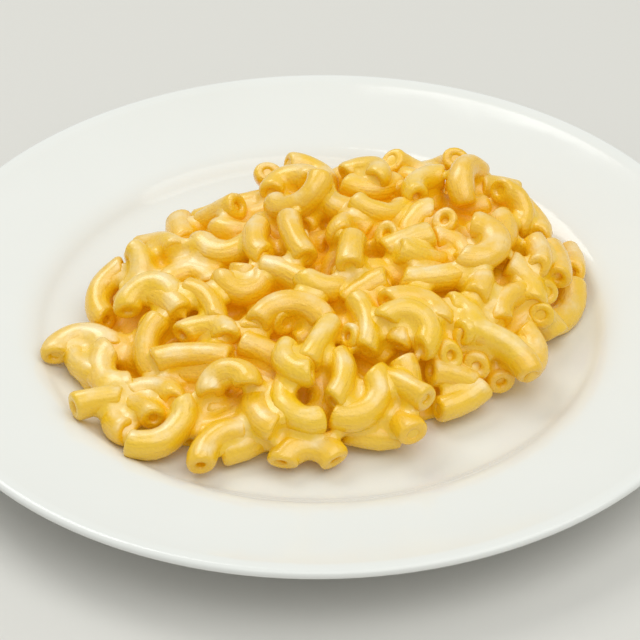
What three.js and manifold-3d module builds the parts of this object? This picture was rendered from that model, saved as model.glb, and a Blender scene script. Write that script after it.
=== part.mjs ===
// Macaroni cheese on its wide-rimmed dinner plate, in millimetres, +Z up.
// The origin is on the table under the middle of the plate, and -Y is the side that faces the eater.
// The plate is one turned body. The macaroni is one heap: a smooth core under a coat of elbow tubes,
// each a bent round bar of true size, fused to the core and to its neighbours.
import * as THREE from "three";
import { mergeVertices } from "three/addons/utils/BufferGeometryUtils.js";
import Module from "manifold-3d";

const wasm = await Module();
wasm.setup();

// ---- driving dimensions -------------------------------------------------------------------------
const PLATE_RADIUS = 135;
const RIM_TOP = 22;
const RIM_LIP = 1.6;
const SHOULDER_RADIUS = 97.5;
const SHOULDER_TOP = 13.2;
const WELL_RADIUS = 86.5;
const WELL_FLOOR = 6.5;
const PLATE_WALL = 4.3;
const FOOT_RADIUS = 74;
const FOOT_WIDTH = 4;
const FOOT_HEIGHT = 2.2;
const PLATE_FACETS = 60;

const FOOD_GAP = 0.35;
const HEAP_LENGTH = 89;
const HEAP_WIDTH = 66;
const HEAP_TURN = 27;
const HEAP_RISE = 32;
const HEAP_STEEPNESS = 0.55;
const SUMMIT_X = 34;
const SUMMIT_Y = 24;

const TUBE_RADIUS = 4.3;
const TUBE_SIDES = 6;
const SHOWN_STEP = 40;
const FILL_STEP = 60;
const CORE_DEPTH = 3;
const CORE_INSET = 1.03;
const SAUCE_DEPTH = 2.2;
const SAUCE_SPREAD = 1.04;
const TUBE_SAMPLES = 6;
const UPRIGHT_SHARE = 0.25;

const SEED = 61;
const FILL_TRIES = 9000;
const FILL_LIFT = [-4.5, -0.5];
const FILL_PITCH = 12;
const FILL_ROLL = 35;
const FILL_BEND = [70, 170];
const FILL_LENGTH = [19, 24];
const FRINGE_NEAR = -3;
const FRINGE_FAR = -2;
const CLEARANCE_FIRST = 7.6;
const CLEARANCE_LAST = 5.8;

// ---- small helpers ------------------------------------------------------------------------------
const radians = THREE.MathUtils.degToRad;
const flat = (x, y) => new THREE.Vector2(x, y);
const space = (x, y, z) => new THREE.Vector3(x, y, z);

// Repeatable random numbers between 0 and 1: the minimal standard generator.
const MULTIPLIER = 16807;
const MODULUS = 2147483647;
let state = SEED;
function draw() {
  state = (state * MULTIPLIER) % MODULUS;
  return state / MODULUS;
}
const between = (low, high) => low + (high - low) * draw();

function solid(geometry) {
  geometry.deleteAttribute("normal");
  geometry.deleteAttribute("uv");
  const merged = mergeVertices(geometry, 1e-4);
  const vertProperties = new Float32Array(merged.getAttribute("position").array);
  const triVerts = new Uint32Array(merged.getIndex().array);
  return new wasm.Manifold(new wasm.Mesh({ numProp: 3, vertProperties, triVerts }));
}

function geometryOf(body) {
  const mesh = body.getMesh();
  const geometry = new THREE.BufferGeometry();
  geometry.setAttribute("position", new THREE.BufferAttribute(new Float32Array(mesh.vertProperties), 3));
  geometry.setIndex(new THREE.BufferAttribute(new Uint32Array(mesh.triVerts), 1));
  geometry.computeVertexNormals();
  return geometry;
}

// ---- plate --------------------------------------------------------------------------------------
// Upper face of the plate from the middle out: flat well, rising verge, shoulder, sloping rim.
function upperFace() {
  const curve = new THREE.Path();
  curve.moveTo(0, WELL_FLOOR);
  curve.lineTo(WELL_RADIUS - 13, WELL_FLOOR);
  curve.quadraticCurveTo(WELL_RADIUS + 1, WELL_FLOOR, WELL_RADIUS + 5, WELL_FLOOR + 3.2);
  curve.quadraticCurveTo(SHOULDER_RADIUS - 2.5, SHOULDER_TOP - 0.4, SHOULDER_RADIUS + 4, SHOULDER_TOP + 0.6);
  curve.quadraticCurveTo(PLATE_RADIUS - 16, SHOULDER_TOP + 3.6, PLATE_RADIUS - 2, RIM_TOP);
  return curve.curves.flatMap((piece, index) => {
    const steps = piece.type === "LineCurve" ? 1 : 3;
    return piece.getPoints(steps).slice(index === 0 ? 0 : 1);
  });
}

// Under face from the rim's edge in to the middle, with the foot ring that the plate stands on.
function underFace() {
  const inside = FOOT_RADIUS - FOOT_WIDTH;
  return [
    flat(PLATE_RADIUS - 0.4, RIM_TOP - 0.3),
    flat(PLATE_RADIUS, RIM_TOP - RIM_LIP),
    flat(PLATE_RADIUS - 1.2, RIM_TOP - 2 * RIM_LIP),
    flat(SHOULDER_RADIUS + 14, SHOULDER_TOP - PLATE_WALL + 1.6),
    flat(SHOULDER_RADIUS + 3, SHOULDER_TOP - PLATE_WALL - 0.4),
    flat(WELL_RADIUS + 3, WELL_FLOOR - PLATE_WALL + 0.8),
    flat(FOOT_RADIUS + 2.2, FOOT_HEIGHT),
    flat(FOOT_RADIUS, 0),
    flat(inside, 0),
    flat(inside - 1.6, FOOT_HEIGHT - 0.3),
    flat(0, FOOT_HEIGHT - 0.3),
  ];
}

function plateGeometry() {
  const profile = [...underFace().reverse(), ...upperFace().reverse()];
  return new THREE.LatheGeometry(profile, PLATE_FACETS).rotateX(Math.PI / 2);
}

// Height of the plate's upper face at a distance from its middle.
const FACE = upperFace();
function faceHeight(radius) {
  const next = FACE.findIndex((point) => point.x >= radius);
  if (next <= 0) {
    return next === 0 ? WELL_FLOOR : RIM_TOP;
  }
  const [a, b] = [FACE[next - 1], FACE[next]];
  return a.y + ((b.y - a.y) * (radius - a.x)) / (b.x - a.x);
}

// The room above the plate, which the food is cut to so that it clears the glaze by a hair.
function roomAbovePlate() {
  const ceiling = WELL_FLOOR + 3 * HEAP_RISE;
  const floor = upperFace().map((point) => flat(point.x, point.y + FOOD_GAP));
  const edge = floor[floor.length - 1].x;
  const profile = [...floor, flat(edge, ceiling), flat(0, ceiling)];
  return solid(new THREE.LatheGeometry(profile, PLATE_FACETS).rotateX(Math.PI / 2));
}

// ---- heap ---------------------------------------------------------------------------------------
// The heap is an oval on plan, turned about the middle of the plate.
const TURN_COS = Math.cos(radians(HEAP_TURN));
const TURN_SIN = Math.sin(radians(HEAP_TURN));
const onPlan = (along, across) => [
  along * TURN_COS - across * TURN_SIN,
  along * TURN_SIN + across * TURN_COS,
];

// Share of the way in from the oval's edge, 1 at its middle, 0 at the edge and negative outside.
function inward(x, y, fringe = 0) {
  const along = (x * TURN_COS + y * TURN_SIN) / (HEAP_LENGTH + fringe);
  const across = (y * TURN_COS - x * TURN_SIN) / (HEAP_WIDTH + fringe);
  return 1 - along ** 2 - across ** 2;
}

// Height of the middle of the tubes in the top layer: a mound, steeper behind its off-centre summit.
function layerHeight(x, y) {
  const pull = Math.max(0, inward(x, y));
  const share = Math.max(0, inward(x - SUMMIT_X * pull, y - SUMMIT_Y * pull));
  return WELL_FLOOR + TUBE_RADIUS + (HEAP_RISE - TUBE_RADIUS) * share ** HEAP_STEEPNESS;
}

// Which way is up for an elbow on the mound: square to the slope, leaning a little to the vertical.
function layerNormal(x, y) {
  const step = 1.5;
  const slopeX = (layerHeight(x + step, y) - layerHeight(x - step, y)) / (2 * step);
  const slopeY = (layerHeight(x, y + step) - layerHeight(x, y - step)) / (2 * step);
  const normal = space(-slopeX, -slopeY, 1).normalize();
  return normal.multiplyScalar(1 - UPRIGHT_SHARE).add(space(0, 0, UPRIGHT_SHARE)).normalize();
}

// The smooth core keeps a little inside the oval, so that the outer elbows hide its skirt, and
// stands in a thin sheet of sauce that reaches just under them.
function coreSolid() {
  const rings = 8;
  const spokes = 40;
  const dome = [];
  for (let ring = 0; ring <= rings; ring += 1) {
    dome.push(flat(Math.sin((ring / rings) * (Math.PI / 2)) / CORE_INSET, 2));
  }
  const profile = [flat(0, 0), flat(SAUCE_SPREAD, 0), flat(SAUCE_SPREAD, 1), ...dome.reverse()];
  const geometry = new THREE.LatheGeometry(profile, spokes).rotateX(Math.PI / 2);
  const place = geometry.getAttribute("position");
  for (let index = 0; index < place.count; index += 1) {
    const [x, y] = onPlan(place.getX(index) * HEAP_LENGTH, place.getY(index) * HEAP_WIDTH);
    const sheet = WELL_FLOOR + SAUCE_DEPTH;
    const mound = layerHeight(x * CORE_INSET, y * CORE_INSET) - CORE_DEPTH;
    const heights = [WELL_FLOOR - 1, sheet, Math.max(sheet, mound)];
    place.setXYZ(index, x, y, heights[Math.round(place.getZ(index))]);
  }
  return solid(geometry);
}

// Centre line of one elbow: an arc that starts at `start` along `ahead` and bends towards `aside`.
class Elbow extends THREE.Curve {
  constructor(start, ahead, aside, bend, length) {
    super();
    Object.assign(this, { start, ahead, aside, bend, radius: length / bend });
  }

  getPoint(share, target = space(0, 0, 0)) {
    const angle = share * this.bend;
    return target
      .copy(this.start)
      .addScaledVector(this.ahead, this.radius * Math.sin(angle))
      .addScaledVector(this.aside, this.radius * (1 - Math.cos(angle)));
  }
}

// One elbow from the plan position of its first end, its height over the top layer, its heading
// on the mound, its pitch up from the mound, its roll, its bend (left +, right -) and its length.
function elbow([x, y, lift, heading, pitch, roll, bend, length]) {
  const normal = layerNormal(x, y);
  const level = space(Math.cos(radians(heading)), Math.sin(radians(heading)), 0);
  level.addScaledVector(normal, -level.dot(normal)).normalize();
  const left = normal.clone().cross(level);
  const ahead = level.multiplyScalar(Math.cos(radians(pitch)));
  ahead.addScaledVector(normal, Math.sin(radians(pitch)));
  const up = ahead.clone().cross(left);
  const aside = left.multiplyScalar(Math.cos(radians(roll)) * Math.sign(bend));
  aside.addScaledVector(up, Math.sin(radians(roll)));
  const start = space(x, y, layerHeight(x, y) + lift);
  const curve = new Elbow(start, ahead, aside, radians(Math.abs(bend)), length);
  const sunk = curve.getPoints(TUBE_SAMPLES).map((point) => {
    return faceHeight(Math.hypot(point.x, point.y)) + TUBE_RADIUS + FOOD_GAP - point.z;
  });
  start.z += Math.max(0, ...sunk);
  return curve;
}

// The bent round bar of one elbow, with one straight stretch for each `step` degrees of its bend.
function elbowSolid(curve, step) {
  const corner = TUBE_RADIUS * Math.sqrt(Math.PI / TUBE_SIDES / Math.sin(Math.PI / TUBE_SIDES));
  const ring = [];
  for (let side = 0; side < TUBE_SIDES; side += 1) {
    const angle = ((side + 0.5) / TUBE_SIDES) * 2 * Math.PI;
    ring.push(flat(corner * Math.cos(angle), corner * Math.sin(angle)));
  }
  const steps = Math.max(2, Math.round(curve.bend / radians(step)));
  const options = { extrudePath: curve, steps, bevelEnabled: false };
  return solid(new THREE.ExtrudeGeometry(new THREE.Shape(ring), options));
}

// The elbows that lie open on top, by region of the heap: see elbow() for the columns.
const SHOWN = [
  // left edge and left front
  [-85, -26, 0, 88, 10, -10, -165, 26],
  [-61, -51, -5, 180, 10, 10, 25, 16],
  [-67, -26, 0, 225, -5, 0, 140, 26],
  [-79, -23, -2, -75, 0, 0, 40, 17],
  [-51, -19, 1, 220, -10, -15, 95, 25],
  [-52, -39, 3, 20, -5, 0, -45, 25],
  [-44, -27, 0, 45, -5, 10, -135, 21],
  [-59, -69, 1, -25, -10, 20, 135, 28],
  [-51, -62, 3, 110, -20, -10, 60, 18],
  [-62, -49, -1, 235, 0, 10, 95, 17],
  [-60, -48, 0, 40, -15, 15, -135, 21],
  // front
  [-22, -66, 0, 175, 5, 10, 100, 23],
  [-34, -56, 3, 95, 10, 15, -185, 21],
  [-44, -40, -4, 0, 0, 0, -30, 18],
  [-36, -56, -3, 0, -20, -15, 70, 18],
  [-16, -50, -1, 230, 5, 5, 95, 23],
  [-9, -40, 2, 235, 5, 10, 120, 20],
  [-10, -53, 0, 235, 10, 0, 145, 23],
  [5, -43, 0, -60, 5, 0, -70, 21],
  [16, -51, 3, -55, -5, -5, -150, 26],
  [-12, -77, 1, 75, 15, -5, -145, 22],
  [19, -51, 0, -30, 20, 5, -20, 18],
  [21, -58, -3, -45, 40, 15, -30, 16],
  [8, -63, -4, -18, 5, 0, 20, 16],
  [-30, -71, -2, 15, 0, 0, 30, 18],
  // middle
  [20, -35, 4, 60, 5, -10, -200, 26],
  [21, -26, 2, 50, -15, 0, -150, 25],
  [24, -40, 0, 80, 15, -75, 75, 16],
  [11, -23, 1, -55, -5, 0, -55, 22],
  [8, -39, 3, 30, -45, 0, -60, 18],
  [-20, -30, 2, 72, 5, -10, -145, 29],
  [25, -4, 2, -10, -30, -20, 45, 21],
  [7, 5, 1, 115, 5, -30, -155, 19],
  [11, 3, 3, -100, 0, 5, 10, 16],
  [-5, -12, 2, -70, -5, -20, 185, 23],
  [22, -14, 0, 190, -15, 0, 40, 17],
  [26, -14, -1, 0, -5, 0, 25, 22],
  [-25, -33, -1, -10, -20, 0, -40, 18],
  [25, -44, 0, -60, -20, 0, -60, 18],
  [4, -32, 1, -119, 5, 0, 10, 20],
  [-23, -31, -1, 80, 0, 0, -130, 17],
  // top and back
  [-15, 30, 1, -73, -12, 32, 155, 27],
  [-16, 39, 0, 91, 11, 4, -167, 21],
  [25, 56, 3, 60, -30, -10, -90, 20],
  [9, 46, 0, 35, 10, 5, -160, 21],
  [12, 22, 2, -55, -20, -15, 140, 23],
  [9, 39, 0, -35, -15, 0, 100, 21],
  [33, 26, 0, 115, -5, 0, -115, 22],
  [49, 27, -2, 135, 50, -20, -145, 28],
  [68, 47, 2, 190, -10, 0, 40, 17],
  [68, 35, 0, -25, -12, 0, -85, 19],
  [41, 12, 2, 50, -65, -5, 30, 21],
  [50, 9, 3, -5, 5, -5, -205, 29],
  [59, 22, -1, -60, 0, 5, -65, 19],
  [37, 5, 1, 190, -10, 0, 20, 17],
  [22, 4, 2, 80, -65, -5, 30, 20],
  // right
  [61, -2, 0, -20, -8, 0, -80, 19],
  [69, 12, 0, -55, 5, 10, -65, 19],
  [76, 15, 0, -60, 5, 5, -50, 20],
  [84, 30, -2, -75, 10, 0, -40, 20],
  [57, -27, 1, 105, -5, -5, -100, 23],
  [74, -9, 3, 100, -50, 0, 40, 18],
  [84, 9, 1, -55, 0, -10, -90, 25],
  [71, -19, 3, 65, -45, 0, -105, 16],
  [64, -24, 0, -40, 5, 15, -115, 23],
  [48, -35, 4, 0, 0, 0, -70, 24],
  [46, -38, 4, 110, -50, 0, 60, 18],
  [41, -43, 3, 110, -50, 0, 60, 18],
  [49, -43, 3, 80, -50, 0, 60, 18],
  [58, -37, 3, 60, -50, 0, -60, 18],
  [57, -42, 0, 100, -10, 0, 40, 16],
  [40, -24, 0, 5, -5, 10, -165, 20],
  [47, -24, -1, 90, -10, -30, -110, 17],
  [36, -54, -2, 15, 0, 0, 30, 18],
  [34, -45, -2, 6, -10, -7, -30, 15],
  [51, -6, -1, -75, 7, 0, -45, 17],
  // left
  [-65, 13, 0, 195, -5, -15, 115, 27],
  [-62, -13, 1, 95, 15, 5, -180, 24],
  [-57, -5, 1, -22, 5, -12, -51, 19],
  [-44, -8, 1, -20, -5, 0, -75, 22],
  [-31, -5, 1, -100, -5, -15, 210, 23],
  [-19, -3, 0, -12, -5, 0, -50, 21],
  [-10, 16, 3, -85, -5, 0, 20, 22],
  [-19, 19, 0, -120, 0, 0, 70, 20],
  [-39, 17, 0, -85, -7, -5, 154, 23],
  [-27, 33, 1, 147, -27, 0, 20, 19],
  [-48, 42, 1, -95, -25, 0, 35, 17],
  [-61, 23, 0, 0, 0, 0, -80, 20],
];

function touches(points, others, clearance) {
  return others.some((other) => {
    return other.some((place) => points.some((point) => point.distanceTo(place) < clearance));
  });
}

// Elbows that fill the places between the open ones: thrown at random on the oval and kept where
// they fit, at first only where there is room and later also where they press on a neighbour.
function fillElbows(shown) {
  const taken = shown.map((curve) => curve.getPoints(TUBE_SAMPLES));
  const fill = [];
  for (let attempt = 0; attempt < FILL_TRIES; attempt += 1) {
    const share = Math.sqrt(draw());
    const angle = draw() * 2 * Math.PI;
    const [x, y] = onPlan(share * Math.cos(angle) * HEAP_LENGTH, share * Math.sin(angle) * HEAP_WIDTH);
    const place = [x, y, between(...FILL_LIFT), between(0, 360)];
    const lie = [between(-FILL_PITCH, FILL_PITCH), between(-FILL_ROLL, FILL_ROLL)];
    const bend = between(...FILL_BEND) * (draw() < 0.5 ? -1 : 1);
    const curve = elbow([...place, ...lie, bend, between(...FILL_LENGTH)]);
    const points = curve.getPoints(TUBE_SAMPLES);
    const fringe = y > 0 ? FRINGE_FAR : FRINGE_NEAR;
    const inside = points.every((point) => inward(point.x, point.y, fringe) > 0);
    const eased = (CLEARANCE_FIRST - CLEARANCE_LAST) * (attempt / FILL_TRIES);
    if (inside && !touches(points, taken, CLEARANCE_FIRST - eased)) {
      fill.push(curve);
      taken.push(points);
    }
  }
  return fill;
}

function heapSolid() {
  const shown = SHOWN.map(elbow);
  const fill = fillElbows(shown);
  let heap = coreSolid();
  for (const curve of shown) {
    heap = heap.add(elbowSolid(curve, SHOWN_STEP));
  }
  for (const curve of fill) {
    heap = heap.add(elbowSolid(curve, FILL_STEP));
  }
  heap = heap.intersect(roomAbovePlate());
  // Loose scraps and sealed hollows are shells of their own, so the largest shell is the whole heap.
  return heap.decompose().sort((a, b) => b.volume() - a.volume())[0];
}

// ---- materials and assembly ---------------------------------------------------------------------
const porcelain = new THREE.MeshStandardMaterial({ color: 0xf3f1ec, roughness: 0.16, metalness: 0 });
const cheese = new THREE.MeshStandardMaterial({ color: 0xeebb45, roughness: 0.38, metalness: 0 });

const plate = new THREE.Mesh(plateGeometry(), porcelain);
plate.name = "plate";
const macaroni = new THREE.Mesh(geometryOf(heapSolid()), cheese);
macaroni.name = "macaroni";

const dish = new THREE.Group();
dish.name = "mac_and_cheese";
dish.add(plate, macaroni);
export default dish;
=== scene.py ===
# %% [markdown]
# # Macaroni and cheese on a wide-rimmed plate
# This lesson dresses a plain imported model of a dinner: one white porcelain plate and one heap of
# elbow macaroni in cheese sauce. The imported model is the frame: it gives the sizes, and every piece
# made here stays where the frame has it. Lengths are written in millimetres, because a cook and a
# potter both think in them, and each mesh is brought to metres as it is finished.

# %% Load the frame
import math
import random

import bmesh
import bpy
import numpy as np
from mathutils import Matrix, Vector, noise
from mathutils.bvhtree import BVHTree


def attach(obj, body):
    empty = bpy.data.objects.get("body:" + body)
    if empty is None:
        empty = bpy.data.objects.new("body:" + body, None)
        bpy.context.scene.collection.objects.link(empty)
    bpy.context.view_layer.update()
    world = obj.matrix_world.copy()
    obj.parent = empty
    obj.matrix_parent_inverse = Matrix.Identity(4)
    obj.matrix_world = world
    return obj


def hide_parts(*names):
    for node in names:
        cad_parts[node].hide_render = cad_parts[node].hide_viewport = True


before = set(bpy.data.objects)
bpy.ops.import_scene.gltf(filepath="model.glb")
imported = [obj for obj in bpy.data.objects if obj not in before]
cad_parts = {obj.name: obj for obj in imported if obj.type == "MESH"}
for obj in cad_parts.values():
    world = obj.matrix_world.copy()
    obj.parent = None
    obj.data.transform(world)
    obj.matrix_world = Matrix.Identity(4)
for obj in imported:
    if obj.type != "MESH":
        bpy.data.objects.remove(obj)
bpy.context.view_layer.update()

# %% [markdown]
# ## Camera
# The dish is seen as somebody seated at the table sees it, from about 37 degrees above. A long lens
# keeps the plate's ellipse even, and it runs a little out of the view at both sides. A camera looks
# down its own -Z, so it is tipped up from straight down by what is left of the right angle.

# %% Camera
LOOK_DOWN = 37.336
LENS_ROLL = -0.512
LENS_LENGTH = 118.125
LENS_SENSOR = 36
EYE = Vector((0.00006, -0.55443, 0.43032))
lens = bpy.data.cameras.new("camera")
lens.lens = LENS_LENGTH
lens.sensor_width = LENS_SENSOR
camera = bpy.data.objects.new("camera", lens)
tip = Matrix.Rotation(math.radians(90 - LOOK_DOWN), 4, "X")
camera.matrix_world = Matrix.Translation(EYE) @ tip @ Matrix.Rotation(math.radians(LENS_ROLL), 4, "Z")
bpy.context.scene.collection.objects.link(camera)
bpy.context.scene.camera = camera
print("camera stands", round(EYE.length, 3), "m from the middle of the plate")

# %% [markdown]
# ## Helpers for finished pieces
# Every piece ends the same way: its mesh is brought from millimetres to metres, shaded smooth, put in
# the scene and tied to the body it rides on. One helper does this, so that no piece forgets a step.

# %% Finish a piece
MM = 0.001


def finish_piece(name, body, node, material):
    body.transform(Matrix.Scale(MM, 4))
    body.name = name
    for face in body.polygons:
        face.use_smooth = True
    body.materials.clear()
    body.materials.append(material)
    piece = bpy.data.objects.new(name, body)
    bpy.context.scene.collection.objects.link(piece)
    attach(piece, "root")
    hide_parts(node)
    body.calc_loop_triangles()
    print(name, "has", len(body.loop_triangles), "triangles")


# %% [markdown]
# ## Helpers for materials
# A material is a small network. The first helper adds one shader node, sets the values that it is
# given and wires the sockets that it is given, so that a finish reads as a short list. Two more do
# the same for the nodes that come up most: arithmetic, and one colour going over into another.

# %% Add shader nodes
def shader(tree, kind, values=None, **settings):
    made = tree.nodes.new(kind)
    for key, value in settings.items():
        setattr(made, key, value)
    for key, value in (values or {}).items():
        if isinstance(value, bpy.types.NodeSocket):
            tree.links.new(value, made.inputs[key])
        else:
            made.inputs[key].default_value = value
    return made


def math_value(tree, operation, *values):
    return shader(tree, "ShaderNodeMath", dict(enumerate(values)), operation=operation).outputs["Value"]


def mixed_color(tree, share, first, second):
    """The first colour, going over into the second as the share grows from 0 to 1."""
    return shader(tree, "ShaderNodeMix", {"Factor": share, 6: first, 7: second},
                  data_type="RGBA").outputs[2]


def new_material(name):
    material = bpy.data.materials.new(name)
    material.use_nodes = True
    material.node_tree.nodes.clear()
    return material


def linear(red, green, blue):
    """A colour as a screen shows it, from 0 to 255, turned into the light it stands for."""
    return tuple((value / 255) ** 2.2 for value in (red, green, blue)) + (1.0,)


def show(tree, surface):
    shader(tree, "ShaderNodeOutputMaterial", {"Surface": surface.outputs["BSDF"]})


# %% [markdown]
# ## The plate's glaze
# Hotel porcelain is a white body under a clear glaze. The glaze is smooth but not optically flat: it
# lay as a melt, so it waves a little, and years of forks have left it faintly duller here and there.
# The foot ring is wiped clean before firing, or the plate would stick to the kiln shelf, so it
# stays matt and a little grey. All of this is read from Object coordinates, in metres.

# %% Glazed porcelain
FOOT_BARE_TOP = 0.0004
FOOT_MATT = 0.55
FOOT_TONE = linear(205, 200, 190)
GLAZE_TONE = linear(234, 235, 233)
GLAZE_CLOUD_TONE = linear(230, 231, 228)


def porcelain_material():
    material = new_material("glazed_porcelain")
    tree = material.node_tree
    place = shader(tree, "ShaderNodeTexCoord").outputs["Object"]
    height = shader(tree, "ShaderNodeSeparateXYZ", {"Vector": place}).outputs["Z"]
    foot = math_value(tree, "LESS_THAN", height, FOOT_BARE_TOP)
    cloud = shader(tree, "ShaderNodeTexNoise", {
        "Vector": place, "Scale": 22.0, "Detail": 3.0}).outputs["Fac"]
    wear = shader(tree, "ShaderNodeMapRange", {
        "Value": cloud, "From Min": 0.35, "From Max": 0.7, "To Min": 0.09, "To Max": 0.17})
    rough = math_value(tree, "MULTIPLY_ADD", foot, FOOT_MATT, wear.outputs["Result"])
    glaze = mixed_color(tree, cloud, GLAZE_TONE, GLAZE_CLOUD_TONE)
    wave = shader(tree, "ShaderNodeTexNoise", {"Vector": place, "Scale": 55.0, "Detail": 2.0})
    bump = shader(tree, "ShaderNodeBump", {
        "Height": wave.outputs["Fac"], "Strength": 0.25, "Distance": 0.0006})
    show(tree, shader(tree, "ShaderNodeBsdfPrincipled", {
        "Base Color": mixed_color(tree, foot, glaze, FOOT_TONE), "Roughness": rough, "IOR": 1.5,
        "Normal": bump.outputs["Normal"]}))
    return material


# %% [markdown]
# ## Sizes of the plate
# The plate was jiggered on a wheel: one outline, turned. These are the sizes that the outline hangs
# on: rim, shoulder, verge, well and foot. The upper face is a flat well, three soft bends and an edge.

# %% Sizes of the plate
PLATE_RADIUS = 135
RIM_TOP = 22
RIM_LIP = 1.6
SHOULDER_RADIUS = 97.5
SHOULDER_TOP = 13.2
WELL_RADIUS = 86.5
WELL_FLOOR = 6.5
PLATE_WALL = 4.3
FOOT_RADIUS = 74
FOOT_WIDTH = 4
FOOT_HEIGHT = 2.2
TURNS = 160
MERGE_WITHIN = 0.01


def soft_bend(start, pull, end, steps):
    """Points after `start` on the curve from `start` to `end` that leans towards `pull`."""
    shares = [step / steps for step in range(1, steps + 1)]
    return [tuple((1 - t) ** 2 * a + 2 * t * (1 - t) * p + t * t * b for a, p, b in zip(start, pull, end))
            for t in shares]


def upper_face(steps):
    verge_foot = (WELL_RADIUS - 13, WELL_FLOOR)
    verge = (WELL_RADIUS + 5, WELL_FLOOR + 3.2)
    shoulder = (SHOULDER_RADIUS + 4, SHOULDER_TOP + 0.6)
    rim = (PLATE_RADIUS - 2, RIM_TOP)
    points = [(0, WELL_FLOOR), (WELL_RADIUS - 16, WELL_FLOOR), verge_foot]
    points += soft_bend(verge_foot, (WELL_RADIUS + 1, WELL_FLOOR), verge, steps)
    points += soft_bend(verge, (SHOULDER_RADIUS - 2.5, SHOULDER_TOP - 0.4), shoulder, steps)
    points += soft_bend(shoulder, (PLATE_RADIUS - 16, SHOULDER_TOP + 3.6), rim, steps)
    return points


print("well", 2 * WELL_RADIUS, "mm across in a plate", 2 * PLATE_RADIUS, "mm across")

# %% [markdown]
# ## Turn the plate
# A lathe shape could be a Screw modifier, but the spin operator leaves a plain closed mesh. The edge
# of the rim is one round bend, the under side follows the upper face at the wall's thickness, and
# the foot ring is two short steps. The full spin merges its first and last outline, the two points
# on the axis are merged after it, and only then are the normals turned outwards.

# %% Plate
def under_face(steps):
    rim = (PLATE_RADIUS - 2, RIM_TOP)
    lip = (PLATE_RADIUS, RIM_TOP - RIM_LIP)
    tuck = (PLATE_RADIUS - 2.4, RIM_TOP - 2 * RIM_LIP)
    elbow_out = (SHOULDER_RADIUS + 3, SHOULDER_TOP - PLATE_WALL - 0.4)
    well_out = (WELL_RADIUS + 3, WELL_FLOOR - PLATE_WALL + 0.8)
    foot_out = (FOOT_RADIUS + 2.2, FOOT_HEIGHT)
    inside = FOOT_RADIUS - FOOT_WIDTH
    underside = FOOT_HEIGHT - 0.3
    points = soft_bend(rim, (PLATE_RADIUS + 0.1, RIM_TOP - 0.1), lip, steps)
    points += soft_bend(lip, (PLATE_RADIUS, RIM_TOP - 2 * RIM_LIP + 0.4), tuck, steps)
    points += soft_bend(tuck, (SHOULDER_RADIUS + 16, SHOULDER_TOP - PLATE_WALL + 1.8), elbow_out, steps)
    points += soft_bend(elbow_out, (WELL_RADIUS + 7, SHOULDER_TOP - PLATE_WALL - 1.5), well_out, steps)
    points += soft_bend(well_out, (FOOT_RADIUS + 3, FOOT_HEIGHT), foot_out, steps)
    points += soft_bend(foot_out, (FOOT_RADIUS + 0.6, 0.4), (FOOT_RADIUS, 0), 3)
    points += [(inside, 0)]
    points += soft_bend((inside, 0), (inside - 0.4, underside), (inside - 2, underside), 3)
    points += [(0, underside)]
    return points


def plate_mesh():
    outline = upper_face(steps=8) + under_face(steps=6)
    shape = bmesh.new()
    points = [shape.verts.new((radius, 0, height)) for radius, height in outline]
    edges = [shape.edges.new(pair) for pair in zip(points, points[1:])]
    bmesh.ops.spin(shape, geom=points + edges, cent=(0, 0, 0), axis=(0, 0, 1), angle=math.tau,
                   steps=TURNS, use_merge=True, use_duplicate=False)
    bmesh.ops.remove_doubles(shape, verts=shape.verts, dist=MERGE_WITHIN)
    bmesh.ops.recalc_face_normals(shape, faces=shape.faces)
    body = bpy.data.meshes.new("plate")
    shape.to_mesh(body)
    shape.free()
    return body


finish_piece("dinner_plate", plate_mesh(), "plate", porcelain_material())

# %% [markdown]
# ## Where the macaroni lies
# Spooned onto the plate, the pasta settles into a mound: an oval on plan, turned a little, with its
# summit off to one side and a steeper back. The mound's height at any place is one formula, and so
# is the way that is up for an elbow lying on it. The plate's face is read from its own outline, so
# that no elbow sinks through the glaze.

# %% The mound
FOOD_GAP = 0.35
HEAP_LENGTH = 89
HEAP_WIDTH = 66
HEAP_TURN = 27
HEAP_RISE = 32
HEAP_STEEPNESS = 0.55
SUMMIT = (34, 24)
TUBE_RADIUS = 4.3
UPRIGHT_SHARE = 0.25
FACE = upper_face(steps=3)
TURN_COS = math.cos(math.radians(HEAP_TURN))
TURN_SIN = math.sin(math.radians(HEAP_TURN))


def on_plan(along, across):
    return along * TURN_COS - across * TURN_SIN, along * TURN_SIN + across * TURN_COS


def inward(x, y, fringe=0):
    """Share of the way in from the oval's edge: 1 at its middle, 0 at its edge, negative outside."""
    along = (x * TURN_COS + y * TURN_SIN) / (HEAP_LENGTH + fringe)
    across = (y * TURN_COS - x * TURN_SIN) / (HEAP_WIDTH + fringe)
    return 1 - along ** 2 - across ** 2


def layer_height(x, y):
    """Height of the middle of the tubes in the top layer."""
    pull = max(0, inward(x, y))
    share = max(0, inward(x - SUMMIT[0] * pull, y - SUMMIT[1] * pull))
    return WELL_FLOOR + TUBE_RADIUS + (HEAP_RISE - TUBE_RADIUS) * share ** HEAP_STEEPNESS


def layer_normal(x, y):
    """The way that is up for an elbow there: square to the mound's slope, but turned upright a little."""
    step = 1.5
    slope_x = (layer_height(x + step, y) - layer_height(x - step, y)) / (2 * step)
    slope_y = (layer_height(x, y + step) - layer_height(x, y - step)) / (2 * step)
    normal = np.array([-slope_x, -slope_y, 1.0])
    normal = (1 - UPRIGHT_SHARE) * normal / np.linalg.norm(normal) + np.array([0, 0, UPRIGHT_SHARE])
    return normal / np.linalg.norm(normal)


def face_height(x, y):
    """Height of the plate's upper face."""
    return np.interp(np.hypot(x, y), [point[0] for point in FACE], [point[1] for point in FACE])


print("the top layer rises to", WELL_FLOOR + HEAP_RISE, "mm at the summit")

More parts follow.
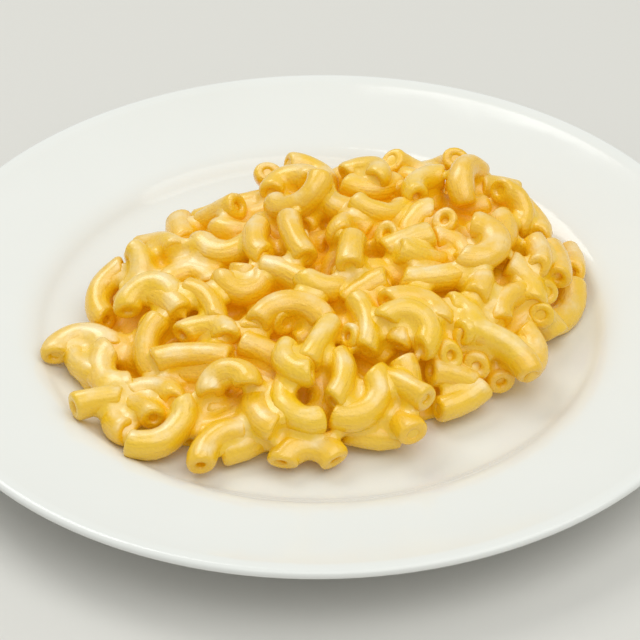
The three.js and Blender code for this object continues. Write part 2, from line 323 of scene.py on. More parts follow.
# %% [markdown]
# ## One elbow's path
# An elbow is a piece of a ring. Eight numbers place it the way a hand would: where its first end is,
# how high it sits over the top layer, where it heads, how far it tips and rolls, how far it bends,
# and how long it is round the bend. If any part of it would sink into the plate, all of it is lifted.

# %% Elbow path
TUBE_SAMPLES = 6


class Elbow:
    def __init__(self, x, y, lift, heading, pitch, roll, bend, length):
        heading, pitch, roll = (math.radians(angle) for angle in (heading, pitch, roll))
        normal = layer_normal(x, y)
        level = np.array([math.cos(heading), math.sin(heading), 0.0])
        level -= normal * (level @ normal)
        level /= np.linalg.norm(level)
        left = np.cross(normal, level)
        self.ahead = math.cos(pitch) * level + math.sin(pitch) * normal
        up = np.cross(self.ahead, left)
        self.aside = math.cos(roll) * math.copysign(1, bend) * left + math.sin(roll) * up
        self.bend = math.radians(abs(bend))
        self.length = length
        self.radius = length / self.bend
        self.start = np.array([x, y, layer_height(x, y) + lift])
        points = self.points(TUBE_SAMPLES)
        sunk = face_height(points[:, 0], points[:, 1]) + TUBE_RADIUS + FOOD_GAP - points[:, 2]
        self.start[2] += max(0, sunk.max())

    def points(self, steps):
        angle = np.linspace(0, self.bend, steps + 1)[:, None]
        bow = np.sin(angle) * self.ahead + (1 - np.cos(angle)) * self.aside
        return self.start + self.radius * bow

    def placement(self):
        """The matrix that lays a tube, made along +X and bending towards +Y, on this path."""
        axes = np.eye(4)
        axes[:3, 0] = self.ahead
        axes[:3, 1] = self.aside
        axes[:3, 2] = np.cross(self.ahead, self.aside)
        axes[:3, 3] = self.start
        return Matrix(axes.tolist())


# %% [markdown]
# ## The elbows that lie open on top
# These are the ones a diner would point at. They are listed region by region, in the order of the eight
# numbers above: x, y, lift, heading, pitch, roll, bend and length.

# %% Elbows on top
SHOWN = [
    # left edge and left front
    (-85, -26, 0, 88, 10, -10, -165, 26),
    (-61, -51, -5, 180, 10, 10, 25, 16),
    (-67, -26, 0, 225, -5, 0, 140, 26),
    (-79, -23, -2, -75, 0, 0, 40, 17),
    (-51, -19, 1, 220, -10, -15, 95, 25),
    (-52, -39, 3, 20, -5, 0, -45, 25),
    (-44, -27, 0, 45, -5, 10, -135, 21),
    (-59, -69, 1, -25, -10, 20, 135, 28),
    (-51, -62, 3, 110, -20, -10, 60, 18),
    (-62, -49, -1, 235, 0, 10, 95, 17),
    (-60, -48, 0, 40, -15, 15, -135, 21),
    # front
    (-22, -66, 0, 175, 5, 10, 100, 23),
    (-34, -56, 3, 95, 10, 15, -185, 21),
    (-44, -40, -4, 0, 0, 0, -30, 18),
    (-36, -56, -3, 0, -20, -15, 70, 18),
    (-16, -50, -1, 230, 5, 5, 95, 23),
    (-9, -40, 2, 235, 5, 10, 120, 20),
    (-10, -53, 0, 235, 10, 0, 145, 23),
    (5, -43, 0, -60, 5, 0, -70, 21),
    (16, -51, 3, -55, -5, -5, -150, 26),
    (-12, -77, 1, 75, 15, -5, -145, 22),
    (19, -51, 0, -30, 20, 5, -20, 18),
    (21, -58, -3, -45, 40, 15, -30, 16),
    (8, -63, -4, -18, 5, 0, 20, 16),
    (-30, -71, -2, 15, 0, 0, 30, 18),
    # middle
    (20, -35, 4, 60, 5, -10, -200, 26),
    (21, -26, 2, 50, -15, 0, -150, 25),
    (24, -40, 0, 80, 15, -75, 75, 16),
    (11, -23, 1, -55, -5, 0, -55, 22),
    (8, -39, 3, 30, -45, 0, -60, 18),
    (-20, -30, 2, 72, 5, -10, -145, 29),
    (25, -4, 2, -10, -30, -20, 45, 21),
    (7, 5, 1, 115, 5, -30, -155, 19),
    (11, 3, 3, -100, 0, 5, 10, 16),
    (-5, -12, 2, -70, -5, -20, 185, 23),
    (22, -14, 0, 190, -15, 0, 40, 17),
    (26, -14, -1, 0, -5, 0, 25, 22),
    (-25, -33, -1, -10, -20, 0, -40, 18),
    (25, -44, 0, -60, -20, 0, -60, 18),
    (4, -32, 1, -119, 5, 0, 10, 20),
    (-23, -31, -1, 80, 0, 0, -130, 17),
    # top and back
    (-15, 30, 1, -73, -12, 32, 155, 27),
    (-16, 39, 0, 91, 11, 4, -167, 21),
    (25, 56, 3, 60, -30, -10, -90, 20),
    (9, 46, 0, 35, 10, 5, -160, 21),
    (12, 22, 2, -55, -20, -15, 140, 23),
    (9, 39, 0, -35, -15, 0, 100, 21),
    (33, 26, 0, 115, -5, 0, -115, 22),
    (49, 27, -2, 135, 50, -20, -145, 28),
    (68, 47, 2, 190, -10, 0, 40, 17),
    (68, 35, 0, -25, -12, 0, -85, 19),
    (41, 12, 2, 50, -65, -5, 30, 21),
    (50, 9, 3, -5, 5, -5, -205, 29),
    (59, 22, -1, -60, 0, 5, -65, 19),
    (37, 5, 1, 190, -10, 0, 20, 17),
    (22, 4, 2, 80, -65, -5, 30, 20),
    # right
    (61, -2, 0, -20, -8, 0, -80, 19),
    (69, 12, 0, -55, 5, 10, -65, 19),
    (76, 15, 0, -60, 5, 5, -50, 20),
    (84, 30, -2, -75, 10, 0, -40, 20),
    (57, -27, 1, 105, -5, -5, -100, 23),
    (74, -9, 3, 100, -50, 0, 40, 18),
    (84, 9, 1, -55, 0, -10, -90, 25),
    (71, -19, 3, 65, -45, 0, -105, 16),
    (64, -24, 0, -40, 5, 15, -115, 23),
    (48, -35, 4, 0, 0, 0, -70, 24),
    (46, -38, 4, 110, -50, 0, 60, 18),
    (41, -43, 3, 110, -50, 0, 60, 18),
    (49, -43, 3, 80, -50, 0, 60, 18),
    (58, -37, 3, 60, -50, 0, -60, 18),
    (57, -42, 0, 100, -10, 0, 40, 16),
    (40, -24, 0, 5, -5, 10, -165, 20),
    (47, -24, -1, 90, -10, -30, -110, 17),
    (36, -54, -2, 15, 0, 0, 30, 18),
    (34, -45, -2, 6, -10, -7, -30, 15),
    (51, -6, -1, -75, 7, 0, -45, 17),
    # left
    (-65, 13, 0, 195, -5, -15, 115, 27),
    (-62, -13, 1, 95, 15, 5, -180, 24),
    (-57, -5, 1, -22, 5, -12, -51, 19),
    (-44, -8, 1, -20, -5, 0, -75, 22),
    (-31, -5, 1, -100, -5, -15, 210, 23),
    (-19, -3, 0, -12, -5, 0, -50, 21),
    (-10, 16, 3, -85, -5, 0, 20, 22),
    (-19, 19, 0, -120, 0, 0, 70, 20),
    (-39, 17, 0, -85, -7, -5, 154, 23),
    (-27, 33, 1, 147, -27, 0, 20, 19),
    (-48, 42, 1, -95, -25, 0, 35, 17),
    (-61, 23, 0, 0, 0, 0, -80, 20),
]
shown = [Elbow(*row) for row in SHOWN]
print(len(shown), "elbows lie open on top")

# %% [markdown]
# ## The elbows between them
# The rest of the coat is thrown at random and kept where it fits, at first only where there is room
# and later also where it presses on a neighbour, as a spoon would press it. A second throw lies
# deeper and shows in the gaps, and a third covers the steep side that faces away from the eater. The
# numbers come from a generator that always starts from the same seed, so that the heap is the same
# each time.

# %% Throw in the rest
MULTIPLIER = 16807
MODULUS = 2147483647
PITCHES = (-12, 12)
ROLLS = (-35, 35)
BENDS = (70, 170)
LENGTHS = (19, 24)
FAR_STEP = 12
FAR_RISE = 9.5


class Dice:
    """Even random numbers that come in the same order each time for the same seed."""

    def __init__(self, seed):
        self.state = seed

    def throw(self, low=0.0, high=1.0):
        self.state = self.state * MULTIPLIER % MODULUS
        return low + (high - low) * (self.state / MODULUS)


def throw_elbows(dice, taken, tries, lifts, clearances, far, near):
    """Elbows that clear the taken ones and lie in the oval, grown by `far` behind and `near` in front."""
    kept = []
    crowd = [elbow.points(TUBE_SAMPLES) for elbow in taken]
    for attempt in range(tries):
        share = math.sqrt(dice.throw())
        angle = dice.throw() * math.tau
        x, y = on_plan(share * math.cos(angle) * HEAP_LENGTH, share * math.sin(angle) * HEAP_WIDTH)
        place = [x, y, dice.throw(*lifts), dice.throw(0, 360)]
        lie = [dice.throw(*PITCHES), dice.throw(*ROLLS)]
        bend = dice.throw(*BENDS) * (-1 if dice.throw() < 0.5 else 1)
        elbow = Elbow(*place, *lie, bend, dice.throw(*LENGTHS))
        points = elbow.points(TUBE_SAMPLES)
        fringe = far if y > 0 else near
        if min(inward(px, py, fringe) for px, py, _ in points) <= 0:
            continue
        reach = clearances[0] + (clearances[1] - clearances[0]) * attempt / tries
        gaps = np.linalg.norm(np.concatenate(crowd)[:, None] - points[None], axis=2)
        if gaps.min() >= reach:
            kept.append(elbow)
            crowd.append(points)
    return kept


def far_side(elbow):
    """Whether an elbow lies on the steep side of the mound that faces away from the eater."""
    return all(layer_height(x, y - FAR_STEP) - layer_height(x, y) > FAR_RISE
               for x, y, _ in elbow.points(steps=2))


between = throw_elbows(Dice(seed=61), shown, tries=9000, lifts=(-4.5, -0.5), clearances=(7.6, 5.8),
                       far=-2, near=-3)
beneath = throw_elbows(Dice(seed=7), shown + between, tries=9000, lifts=(-8, -3),
                       clearances=(6.4, 4.6), far=-14, near=-6)
behind = throw_elbows(Dice(seed=9), shown + between + beneath, tries=4000, lifts=(-3, 0),
                      clearances=(7.2, 5.4), far=-4, near=-60)
beneath += [elbow for elbow in behind if far_side(elbow)]
print(len(between), "elbows fill the coat and", len(beneath), "lie beneath it or on the far side")

# %% [markdown]
# ## Model an elbow
# Dried elbow macaroni is pushed through a ring-shaped die and cut off by a blade as it curls. So it
# is modelled the same way: a disc is inset and its middle taken out, which leaves the die's ring, and
# the ring is spun about the middle of the bend. Cooking swells and rounds the cut rims, so the first
# and last rings are moved close to the ends and pulled in to a quarter round. Then the tube is made
# a little unlike its neighbours: squashed, cut aslant and uneven. Two attributes stay with the
# mesh: `grain` unrolls the tube, for streaks along it, and `tint` tells one elbow from the next.

# %% Elbow mesh
SKIN_RADIUS = TUBE_RADIUS + 0.25
BORE_RADIUS = 1.3
AROUND = 20
SPIN_STEP = math.radians(12)
RIM_ROUND = 1.45
RIM_RINGS = (0, 0.12, 0.5)
SQUASH_MOST = 0.12
SLANT_MOST = 0.22
SLANT_REACH = 4.0
UNEVEN = 0.5
UNEVEN_FINENESS = 0.17
GRAIN_SHIFT = 900
TURN_START = -0.5
ON_EDGE = Matrix.Rotation(math.pi / 2, 4, "Y")


def turned(elbow, place):
    """How far round the bend of an elbow a place on it lies, from a little before its start."""
    angle = math.atan2(place.x, elbow.radius - place.y)
    return angle + math.tau if angle < TURN_START else angle


def section_at(elbow, angle):
    """The middle of the tube there, the way to the middle of the bend and the way along the tube."""
    inwards = Vector((-math.sin(angle), math.cos(angle), 0))
    along = Vector((math.cos(angle), math.sin(angle), 0))
    return Vector((0, elbow.radius, 0)) - elbow.radius * inwards, inwards, along


def round_rims(shape, elbow, rings):
    """Moves the first and last rings close to the ends and pulls them in to a quarter round."""
    wall = (SKIN_RADIUS + BORE_RADIUS) / 2
    last = len(RIM_RINGS)
    for vert in shape.verts:
        angle = turned(elbow, vert.co)
        ring = round(angle / elbow.bend * rings)
        near = min(ring, rings - ring)
        if near < last:
            way = RIM_RINGS[near]
        else:
            way = RIM_ROUND + (elbow.length - 2 * RIM_ROUND) * (near - last) / (rings - 2 * last)
        middle, inwards, _ = section_at(elbow, angle)
        across, up = (vert.co - middle).dot(inwards), vert.co.z
        pull = RIM_ROUND - math.sqrt(RIM_ROUND ** 2 - max(0.0, RIM_ROUND - way) ** 2)
        reach = math.hypot(across, up)
        share = 1 + (pull if reach < wall else -pull) / reach
        arc = way if ring < rings / 2 else elbow.length - way
        middle, inwards, _ = section_at(elbow, arc / elbow.radius)
        vert.co = middle + share * (across * inwards + Vector((0, 0, up)))


def knead(shape, elbow, number):
    """Makes the tube with this number uneven in its own way, and writes its grain and tint."""
    luck = random.Random(number)
    grain = shape.verts.layers.float_vector.new("grain")
    tint = shape.verts.layers.float.new("tint")
    squash = luck.uniform(-SQUASH_MOST, SQUASH_MOST)
    slants = [(luck.uniform(-SLANT_MOST, SLANT_MOST), luck.uniform(-SLANT_MOST, SLANT_MOST))
              for end in range(2)]
    shift = Vector([luck.uniform(0, GRAIN_SHIFT) for axis in range(3)])
    tone = luck.random()
    for vert in shape.verts:
        angle = turned(elbow, vert.co)
        middle, inwards, along = section_at(elbow, angle)
        across = (vert.co - middle).dot(inwards)
        up = vert.co.z
        vert[grain] = Vector((across, up, elbow.radius * angle)) + shift
        vert[tint] = tone
        swell = 1 + UNEVEN * noise.noise(vert[grain] * UNEVEN_FINENESS) / TUBE_RADIUS
        across, up = across * swell * (1 + squash), up * swell * (1 - squash)
        place = middle + across * inwards + Vector((0, 0, up))
        for (lean, tilt), way in zip(slants, (elbow.radius * angle, elbow.length - elbow.radius * angle)):
            fade = max(0.0, 1 - way / SLANT_REACH)
            place += along * fade * (lean * across + tilt * up)
        vert.co = place


def elbow_mesh(elbow, number):
    shape = bmesh.new()
    bmesh.ops.create_circle(shape, cap_ends=True, segments=AROUND, radius=SKIN_RADIUS, matrix=ON_EDGE)
    bmesh.ops.inset_region(shape, faces=shape.faces[:], thickness=SKIN_RADIUS - BORE_RADIUS,
                           use_boundary=True, use_even_offset=True)
    bore = [face for face in shape.faces if len(face.verts) == AROUND]
    bmesh.ops.delete(shape, geom=bore, context="FACES_ONLY")
    section = shape.verts[:] + shape.edges[:] + shape.faces[:]
    rings = max(3, round(elbow.bend / SPIN_STEP)) + 2 * len(RIM_RINGS)
    bmesh.ops.spin(shape, geom=section, cent=(0, elbow.radius, 0), axis=(0, 0, 1), angle=elbow.bend,
                   steps=rings, use_duplicate=False)
    bmesh.ops.recalc_face_normals(shape, faces=shape.faces)
    round_rims(shape, elbow, rings)
    knead(shape, elbow, number)
    shape.transform(elbow.placement())
    return shape


print("a tube is", 2 * SKIN_RADIUS, "mm thick round a bore of", 2 * BORE_RADIUS, "mm")

# %% [markdown]
# ## Join many small meshes
# A heap of a hundred objects is slow to handle, so all elbows of one layer become one mesh. Meshes
# that share their attribute names can be read into one bmesh, one after another.

# %% Join
def joined(name, shapes):
    whole = bmesh.new()
    for shape in shapes:
        part = bpy.data.meshes.new("part")
        shape.to_mesh(part)
        shape.free()
        whole.from_mesh(part)
        bpy.data.meshes.remove(part)
    body = bpy.data.meshes.new(name)
    whole.to_mesh(body)
    whole.free()
    return body


# %% [markdown]
# ## Where the sauce pooled
# The sauce isn't even. Where the spoon let it fall it lies thick and pale over the elbows, mostly at the
# back left, and elsewhere it has run down and left them bare. The pools are listed, and each mesh carries
# their strength at every vertex, so that all finishes know where the sauce is thick. It carries a second
# mark for how deep a place is sunk in the heap or hemmed in by its neighbours, and the finishes use it
# for painted shade: a darker, richer tone where light going from yellow to yellow many times would make
# it so. Eight looks out from each vertex measure how much is close by. A third mark is how far the face
# looks up; it lays the pale film thicker on the tops, partly as sauce that stays on a tube's top and runs
# off its sides, and partly as a painted highlight.

# %% Pools and depths
SUNK_FROM = 1.0
SUNK_TO = -7.0
SUNK_WITHIN = 4.0
LOOK_REACH = 11.0
LOOK_START = 0.5
LOOK_SPREAD = 0.85
HOLLOW_FROM = 0.1
HOLLOW_FULL = 0.58
LOOKS = [LOOK_SPREAD * Vector((x, y, z)).normalized()
         for x in (-1, 1) for y in (-1, 1) for z in (-1, 1)]
POOLS = [
    # x, y, half width
    (-46, 16, 12),
    (-33, 24, 10),
    (-24, 34, 8),
    (-60, 2, 10),
    (-68, -22, 10),
    (-66, -46, 8),
    (-52, -66, 8),
    (52, -34, 8),
    (60, -38, 7),
]


def pooled(x, y):
    """How deep in a pool a place is: 1 in the middle of one, falling to 0 round it."""
    return max(math.exp(-(((x - px) ** 2 + (y - py) ** 2) / wide ** 2) ** 2) for px, py, wide in POOLS)


# The sunk mark paints shade: this depth and how hemmed in a vertex is turn the food a darker, richer
# yellow.
def sunk(place):
    """How deep a place lies under the coat: 0 in it or at the heap's edge, 1 far beneath it."""
    over = place.z - layer_height(place.x, place.y)
    within = min(1.0, max(0.0, SUNK_WITHIN * inward(place.x, place.y)))
    return within * min(1.0, max(0.0, (SUNK_FROM - over) / (SUNK_FROM - SUNK_TO)))


# How hemmed in a vertex is works as an occlusion measure for the painted shade.
def hollow_shade(vert, crowd):
    """How hemmed in a vertex is: 0 or less in the open, and 1 or more in a deep gap."""
    closed = 0
    for look in LOOKS:
        way = (vert.normal + look).normalized()
        far = crowd.ray_cast(vert.co + LOOK_START * vert.normal, way, LOOK_REACH)[3]
        closed += 0 if far is None else 1 - far / LOOK_REACH
    return (closed / len(LOOKS) - HOLLOW_FROM) / (HOLLOW_FULL - HOLLOW_FROM)


def marked(body, crowd):
    """Gives each vertex of a body its three marks, and returns the body."""
    marks = {
        "pool": [pooled(vert.co.x, vert.co.y) for vert in body.vertices],
        # The sunk mark is painted shade for hollows and deep gaps.
        "sunk": [min(1.0, max(sunk(vert.co), hollow_shade(vert, crowd))) for vert in body.vertices],
        "level": [max(0.0, vert.normal.z) for vert in body.vertices],
    }
    for name, values in marks.items():
        body.attributes.new(name, "FLOAT", "POINT").data.foreach_set("value", values)
    return body


print(len(POOLS), "pools of sauce, and", len(LOOKS), "looks out from each vertex")

# %% [markdown]
# ## How macaroni in cheese sauce is coloured
# Boiled durum pasta is a warm pale yellow that lets a little light through, so its thin edges glow.
# The sauce on it is paler where it is thick and nearly clear where it has run off. One shader group makes
# both: a cloudy mask lays the film over the pasta's own tone, and streaks along the tube and the tint
# shift one elbow against the next. The group also paints shade: where the sunk mark is high, the tone
# goes over into a darker, richer yellow, the film is taken away and the coat is thinned. It puts out a
# colour, a roughness, how wet the skin is, the tone of a painted glow that stands in for the light that
# seeps through it, and a height, which fine grain roughens.

# %% Cheese coat group
STREAK_TINT = 0.6
STREAK_RELIEF = 0.9
CLOUD_RELIEF = 1.5
WET_LEAST = 0.15


def coat_group():
    tree = bpy.data.node_groups.new("cheese_coat", "ShaderNodeTree")
    for name, kind in (("Place", "Vector"), ("Grain", "Vector"), ("Tint", "Float"), ("FilmAndHighlight", "Float"),
                       ("PaintedShade", "Float"), ("Pasta", "Color"), ("StreakAndShade", "Color"), ("Sauce", "Color")):
        tree.interface.new_socket(name, in_out="INPUT", socket_type="NodeSocket" + kind)
    for name, kind in (("Color", "Color"), ("Roughness", "Float"), ("Wet", "Float"), ("PaintedGlow", "Color"),
                       ("Height", "Float")):
        tree.interface.new_socket(name, in_out="OUTPUT", socket_type="NodeSocket" + kind)
    given = shader(tree, "NodeGroupInput").outputs
    cloud = shader(tree, "ShaderNodeTexNoise", {
        "Vector": given["Place"], "Scale": 95.0, "Detail": 3.0, "Roughness": 0.55}).outputs["Fac"]
    spread = math_value(tree, "ADD", cloud, given["FilmAndHighlight"])
    sauce_and_highlight = shader(tree, "ShaderNodeMapRange", {
        "Value": spread, "From Min": 0.85, "From Max": 1.32, "To Min": 0.0, "To Max": 1.0},
        interpolation_type="SMOOTHSTEP").outputs["Result"]
    stretched = shader(tree, "ShaderNodeMapping", {"Vector": given["Grain"], "Scale": (1.15, 1.15, 0.15)},
                       vector_type="POINT").outputs["Vector"]
    streaks = shader(tree, "ShaderNodeTexNoise", {
        "Vector": stretched, "Scale": 1.0, "Detail": 2.0}).outputs["Fac"]
    mixed = math_value(tree, "MULTIPLY_ADD", streaks, STREAK_TINT, given["Tint"])
    warm = shader(tree, "ShaderNodeMapRange", {
        "Value": mixed, "From Min": 0.3, "From Max": 1.3, "To Min": 0.0, "To Max": 0.6}).outputs["Result"]
    # Painted shade: where the sunk mark is high the skin goes over into the darker, richer tone, the film
    # is taken away and the coat is thinned.
    clear = math_value(tree, "SUBTRACT", 1.0, given["PaintedShade"])
    streak_and_shade = math_value(tree, "MAXIMUM", warm, given["PaintedShade"])
    laid = math_value(tree, "MULTIPLY", sauce_and_highlight, clear)
    skin = mixed_color(tree, streak_and_shade, given["Pasta"], given["StreakAndShade"])
    color = mixed_color(tree, laid, skin, given["Sauce"])
    rough = shader(tree, "ShaderNodeMapRange", {
        "Value": cloud, "From Min": 0.3, "From Max": 0.7, "To Min": 0.4, "To Max": 0.6}).outputs["Result"]
    fine = shader(tree, "ShaderNodeTexNoise", {
        "Vector": given["Place"], "Scale": 850.0, "Detail": 2.0}).outputs["Fac"]
    ridges = math_value(tree, "MULTIPLY_ADD", streaks, STREAK_RELIEF, fine)
    height = math_value(tree, "MULTIPLY_ADD", cloud, CLOUD_RELIEF, ridges)
    wet = math_value(tree, "MULTIPLY_ADD", clear, 1 - WET_LEAST, WET_LEAST)
    shader(tree, "NodeGroupOutput", {
        "Color": color, "Roughness": rough, "Wet": wet, "PaintedGlow": skin, "Height": height})
    return tree


CHEESE_COAT = coat_group()
print("the coat group has", len(CHEESE_COAT.nodes), "nodes")

# %% [markdown]
# ## The two finishes of the food
# The pasta and the sauce share the group and its tones, so that no seam shows where one runs into the
# other. On both, the film is thicker where the sauce pooled and where a face looks up; on the tops this
# is partly sauce that stays there and partly a painted highlight. What sets them apart is that only the
# elbows carry a grain and a tint, and that the sauce's relief is a little softer. Both are wet, so both
# get a thin glossy coat. Real pasta lets light seep through from all round, so that no gap is ever dark.
# Real scattering would leave pale outlines where the bodies of sauce and pasta overlap, so a faint
# painted glow in the pasta's own tone stands in for it: the food gives off a little light, though it is
# no lamp.

# %% Pasta and sauce
FILM_LEAST = 0.08
# On faces that look up the pale film is partly sauce lying on the tops and partly a painted highlight.
FILM_AND_HIGHLIGHT_ON_TOPS = 0.42
FILM_POOL = 0.1
# A painted glow: the food gives off a little light in its own tone, in place of light scattered under its
# skin.
PAINTED_GLOW = 0.075
PASTA_TONE = linear(238, 191, 18)
# The deep tone is painted shade for hollows and deep gaps; the random streaks and tints also lean towards
# it.
STREAK_AND_SHADE_TONE = linear(236, 179, 4)
# On the tops this sauce tone also serves as a painted highlight.
SAUCE_TONE = linear(242, 221, 172)


def food_material(name, relief):
    material = new_material(name)
    tree = material.node_tree
    place = shader(tree, "ShaderNodeTexCoord").outputs["Object"]
    grain = shader(tree, "ShaderNodeAttribute", attribute_name="grain").outputs["Vector"]
    # depth reads the sunk mark, the painted shade of hollows and deep gaps.
    tint, pool, depth, level = [
        shader(tree, "ShaderNodeAttribute", attribute_name=mark).outputs["Fac"]
        for mark in ("tint", "pool", "sunk", "level")]
    # Painted highlight: the pale film grows on faces that look up, over the sauce's own film.
    film_and_highlight_on_tops = math_value(tree, "MULTIPLY_ADD", level, FILM_AND_HIGHLIGHT_ON_TOPS, FILM_LEAST)
    sauce_and_highlight = math_value(tree, "MULTIPLY_ADD", pool, FILM_POOL, film_and_highlight_on_tops)
    coat = shader(tree, "ShaderNodeGroup", {
        "Place": place, "Grain": grain, "Tint": tint, "PaintedShade": depth, "FilmAndHighlight": sauce_and_highlight,
        "Pasta": PASTA_TONE, "StreakAndShade": STREAK_AND_SHADE_TONE, "Sauce": SAUCE_TONE}, node_tree=CHEESE_COAT).outputs
    bump = shader(tree, "ShaderNodeBump", {
        "Height": coat["Height"], "Strength": relief, "Distance": 0.0004})
    show(tree, shader(tree, "ShaderNodeBsdfPrincipled", {
        "Base Color": coat["Color"], "Roughness": coat["Roughness"], "IOR": 1.4,
        "Coat Weight": coat["Wet"], "Coat Roughness": 0.26, "Coat IOR": 1.7,
        "Normal": bump.outputs["Normal"],
        # The emission is a painted glow, not a lamp.
        "Emission Color": coat["PaintedGlow"], "Emission Strength": PAINTED_GLOW}))
    return material


pasta = food_material("sauced_macaroni", relief=0.95)
sauce = food_material("cheese_sauce", relief=0.9)
print("finishes of the food:", pasta.name, "and", sauce.name)

# %% [markdown]
# ## Lay the macaroni
# The elbows of the coat get the full model. Those beneath it show only through gaps, but a gap can be
# looked into, so they are real tubes too. Before they are marked, all of them go into one search
# tree, because a look out from one elbow has to find its neighbours in both layers.

# %% Macaroni
numbers = {elbow: number for number, elbow in enumerate(shown + between + beneath)}
on_top = joined("top", [elbow_mesh(elbow, numbers[elbow]) for elbow in shown + between])
under_it = joined("beneath", [elbow_mesh(elbow, numbers[elbow]) for elbow in beneath])
heap = bmesh.new()
heap.from_mesh(on_top)
heap.from_mesh(under_it)
crowd = BVHTree.FromBMesh(heap)
heap.free()
finish_piece("macaroni_on_top", marked(on_top, crowd), "macaroni", pasta)
finish_piece("macaroni_beneath", marked(under_it, crowd), "macaroni", pasta)

# %% [markdown]
# ## The sauce
# Warm cheese sauce clings: it fills the creases where elbows touch, levels off in hollows and lies
# in a thin sheet round the foot of the heap. It could be drawn as patches, but then every crease
# would need its own. Instead the sauce is poured as one body: a tube in each elbow, a core under
# them and a thin sheet at the foot are all made too fat by the same reach, fused by a voxel remesh
# and then drawn back by that reach. Bulges come back to where they were, just inside the elbows'
# skin, but a crease narrower than twice the reach stays bridged by a soft round, as surface tension
# leaves it. Where the sauce pooled the tubes swell out over the pasta. Most bores are stopped with
# sauce close to the rim, each to its own depth, and the few that stayed open are named by their
# elbow's number and end.

# %% Sauce
CORE_DEPTH = 8
CORE_INSET = 1.05
CORE_UPPER = -0.01
SAUCE_SHEET = 1.2
SAUCE_CLEAR = 0.05
SHEET_SPREAD = 0.93
SHEET_TAPER = 0.985
RAGGED_SHARE = 0.035
RAGGED_WAVES = 3
RAGGED_SLICE = 5
FLOW_REACH = 0.8
FLOW_RADIUS = 4.35
POOL_SWELL = 0.6
OPEN_TRIM = 2.2
CLOSED_TRIM = (0.2, 1.4)
OPEN_ENDS = {(6, 0), (8, 0), (11, 1), (20, 0), (29, 0), (36, 0), (36, 1), (47, 0), (51, 0), (55, 0),
             (58, 1), (62, 0), (62, 1), (66, 0), (67, 0), (68, 0), (69, 0), (70, 0), (76, 1), (85, 0)}
FLOW_SIDES = 16
FLOW_STEPS = 8
FLOW_ROUND = 2.0
FLOW_VOXEL = 1.1
FLOW_ROUNDS = 3


def core_shape():
    """The smooth inside of the heap: a ball drawn out to the oval and up to the mound."""
    shape = bmesh.new()
    bmesh.ops.create_uvsphere(shape, u_segments=64, v_segments=24, radius=1)
    for vert in shape.verts:
        x, y = on_plan(vert.co.x / CORE_INSET * HEAP_LENGTH, vert.co.y / CORE_INSET * HEAP_WIDTH)
        top = max(WELL_FLOOR + SAUCE_SHEET, layer_height(x * CORE_INSET, y * CORE_INSET) - CORE_DEPTH)
        vert.co = (x, y, top + FLOW_REACH if vert.co.z > CORE_UPPER else WELL_FLOOR - FLOW_REACH)
    return shape


def sheet_shape():
    """The thin sheet of sauce that runs out under the foot of the heap, with an uneven edge."""
    shape = bmesh.new()
    bmesh.ops.create_cone(shape, cap_ends=True, segments=96, radius1=1, radius2=SHEET_TAPER,
                          depth=SAUCE_SHEET)
    for vert in shape.verts:
        spot = Vector((RAGGED_WAVES * vert.co.x, RAGGED_WAVES * vert.co.y, RAGGED_SLICE))
        ragged = 1 + RAGGED_SHARE * noise.noise(spot)
        x, y = on_plan(vert.co.x * ragged * (SHEET_SPREAD * HEAP_LENGTH + FLOW_REACH),
                       vert.co.y * ragged * (SHEET_SPREAD * HEAP_WIDTH + FLOW_REACH))
        over = math.copysign(SAUCE_SHEET / 2 + FLOW_REACH, vert.co.z)
        vert.co = (x, y, WELL_FLOOR + SAUCE_SHEET / 2 + over)
    return shape


def flow_tube(elbow, number):
    """A solid tube in the elbow with this number, shorter than it where the bore stayed open."""
    shape = bmesh.new()
    luck = random.Random(number)
    trims = [OPEN_TRIM if (number, end) in OPEN_ENDS else luck.uniform(*CLOSED_TRIM)
             for end in (0, 1)]
    turns = [(trim - FLOW_REACH) / elbow.radius for trim in trims]
    verts = bmesh.ops.create_circle(shape, segments=FLOW_SIDES, radius=FLOW_RADIUS + FLOW_REACH,
                                    matrix=ON_EDGE)["verts"]
    centre = (0, elbow.radius, 0)
    bmesh.ops.rotate(shape, verts=verts, cent=centre, matrix=Matrix.Rotation(turns[0], 3, "Z"))
    edges = list({edge for vert in verts for edge in vert.link_edges})
    bmesh.ops.spin(shape, geom=verts + edges, cent=centre, axis=(0, 0, 1),
                   angle=elbow.bend - sum(turns), steps=FLOW_STEPS, use_duplicate=False)
    caps = bmesh.ops.holes_fill(shape, edges=shape.edges, sides=0)["faces"]
    bmesh.ops.bevel(shape, geom=[edge for cap in caps for edge in cap.edges], offset=FLOW_ROUND,
                    offset_type="OFFSET", segments=2, profile=0.5, affect="EDGES", material=-1)
    bmesh.ops.recalc_face_normals(shape, faces=shape.faces)
    knead(shape, elbow, number)
    shape.transform(elbow.placement())
    shape.normal_update()
    for vert in shape.verts:
        vert.co += POOL_SWELL * pooled(vert.co.x, vert.co.y) * vert.normal
    return shape


def outer_shell(body):
    """Keeps the largest shell of a mesh, clear of the glaze: the rest are sealed hollows and drops."""
    shape = bmesh.new()
    shape.from_mesh(body)
    shells = []
    waiting = set(shape.verts)
    while waiting:
        reached = [waiting.pop()]
        for vert in reached:
            beside = {edge.other_vert(vert) for edge in vert.link_edges} & waiting
            waiting -= beside
            reached += beside
        shells.append(reached)
    shells.sort(key=len)
    spare = [vert for shell in shells[:-1] for vert in shell]
    bmesh.ops.delete(shape, geom=spare, context="VERTS")
    for vert in shape.verts:
        face = face_height(vert.co.x, vert.co.y) + SAUCE_CLEAR
        vert.co.z = max(vert.co.z, face)
    shape.to_mesh(body)
    shape.free()
    return body


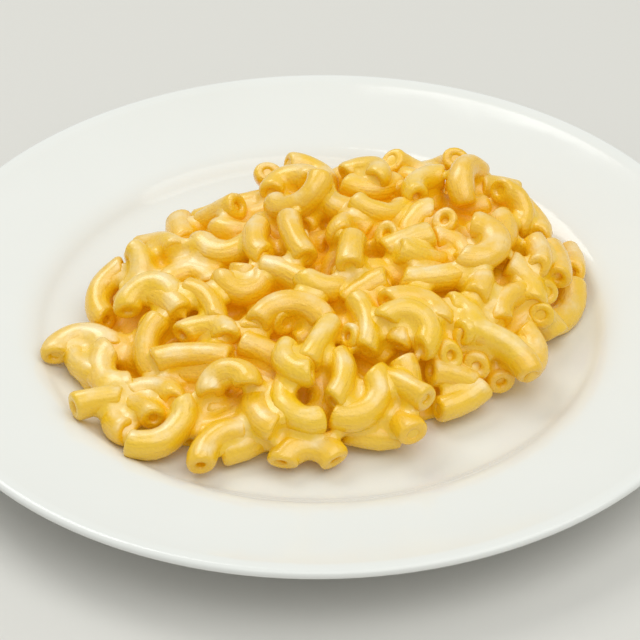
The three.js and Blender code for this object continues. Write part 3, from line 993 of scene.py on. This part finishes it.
def fuse_and_settle(source):
    fuse = source.modifiers.new("fuse", "REMESH")
    fuse.mode = "VOXEL"
    fuse.voxel_size = FLOW_VOXEL
    settle = source.modifiers.new("settle", "SMOOTH")
    settle.iterations = FLOW_ROUNDS


def flowed(body):
    """The given closed shapes fused by voxels and drawn smooth, as a thick liquid settles."""
    source = bpy.data.objects.new("flow", body)
    bpy.context.scene.collection.objects.link(source)
    fuse_and_settle(source)
    shrink = source.modifiers.new("draw_back", "DISPLACE")
    shrink.mid_level = 0
    shrink.strength = -FLOW_REACH
    fuse_and_settle(source)
    evaluated = source.evaluated_get(bpy.context.evaluated_depsgraph_get())
    result = bpy.data.meshes.new_from_object(evaluated)
    bpy.data.objects.remove(source)
    return outer_shell(result)


flow_shapes = [flow_tube(elbow, number) for elbow, number in numbers.items()]
flow_shapes += [core_shape(), sheet_shape()]
poured = flowed(joined("sauce", flow_shapes))
finish_piece("cheese_sauce", marked(poured, crowd), "macaroni", sauce)

# %% [markdown]
# ## Floor and light
# The dish stands on a plain pale floor, which is only the stage. The light is that of a bright room:
# a soft window behind and above the dish, a wider and more even light over its front, and pale walls
# all round.

# %% Stage
FLOOR_HALF = 3.0
FLOOR_TONE = linear(214, 212, 208)
DAYLIGHT = (0.985, 1.0, 0.97)
WALL_LIGHT = (0.985, 1.0, 0.965, 1.0)
WALL_STRENGTH = 0.57


def floor_piece():
    shape = bmesh.new()
    bmesh.ops.create_grid(shape, x_segments=1, y_segments=1, size=FLOOR_HALF)
    body = bpy.data.meshes.new("floor")
    shape.to_mesh(body)
    shape.free()
    material = new_material("pale_floor")
    tree = material.node_tree
    show(tree, shader(tree, "ShaderNodeBsdfPrincipled", {"Base Color": FLOOR_TONE, "Roughness": 0.6}))
    body.materials.append(material)
    floor = bpy.data.objects.new("floor", body)
    bpy.context.scene.collection.objects.link(floor)


def soft_light(name, place, width, height, watts):
    data = bpy.data.lights.new(name, "AREA")
    data.shape = "RECTANGLE"
    data.size = width
    data.size_y = height
    data.energy = watts
    data.color = DAYLIGHT
    light = bpy.data.objects.new(name, data)
    light.location = place
    light.rotation_mode = "QUATERNION"
    light.rotation_quaternion = (-Vector(place)).to_track_quat("-Z", "Y")
    bpy.context.scene.collection.objects.link(light)


floor_piece()
soft_light("window", place=(-0.55, 0.7, 1.3), width=0.8, height=0.7, watts=6.2)
soft_light("ceiling", place=(0.45, -0.4, 1.5), width=1.8, height=1.4, watts=12)
world = bpy.data.worlds.new("room")
world.use_nodes = True
walls = world.node_tree.nodes["Background"].inputs
walls["Color"].default_value = WALL_LIGHT
walls["Strength"].default_value = WALL_STRENGTH
bpy.context.scene.world = world
bpy.context.scene.view_settings.view_transform = "Standard"
print("lit by", len(bpy.data.lights), "soft lights and the walls")
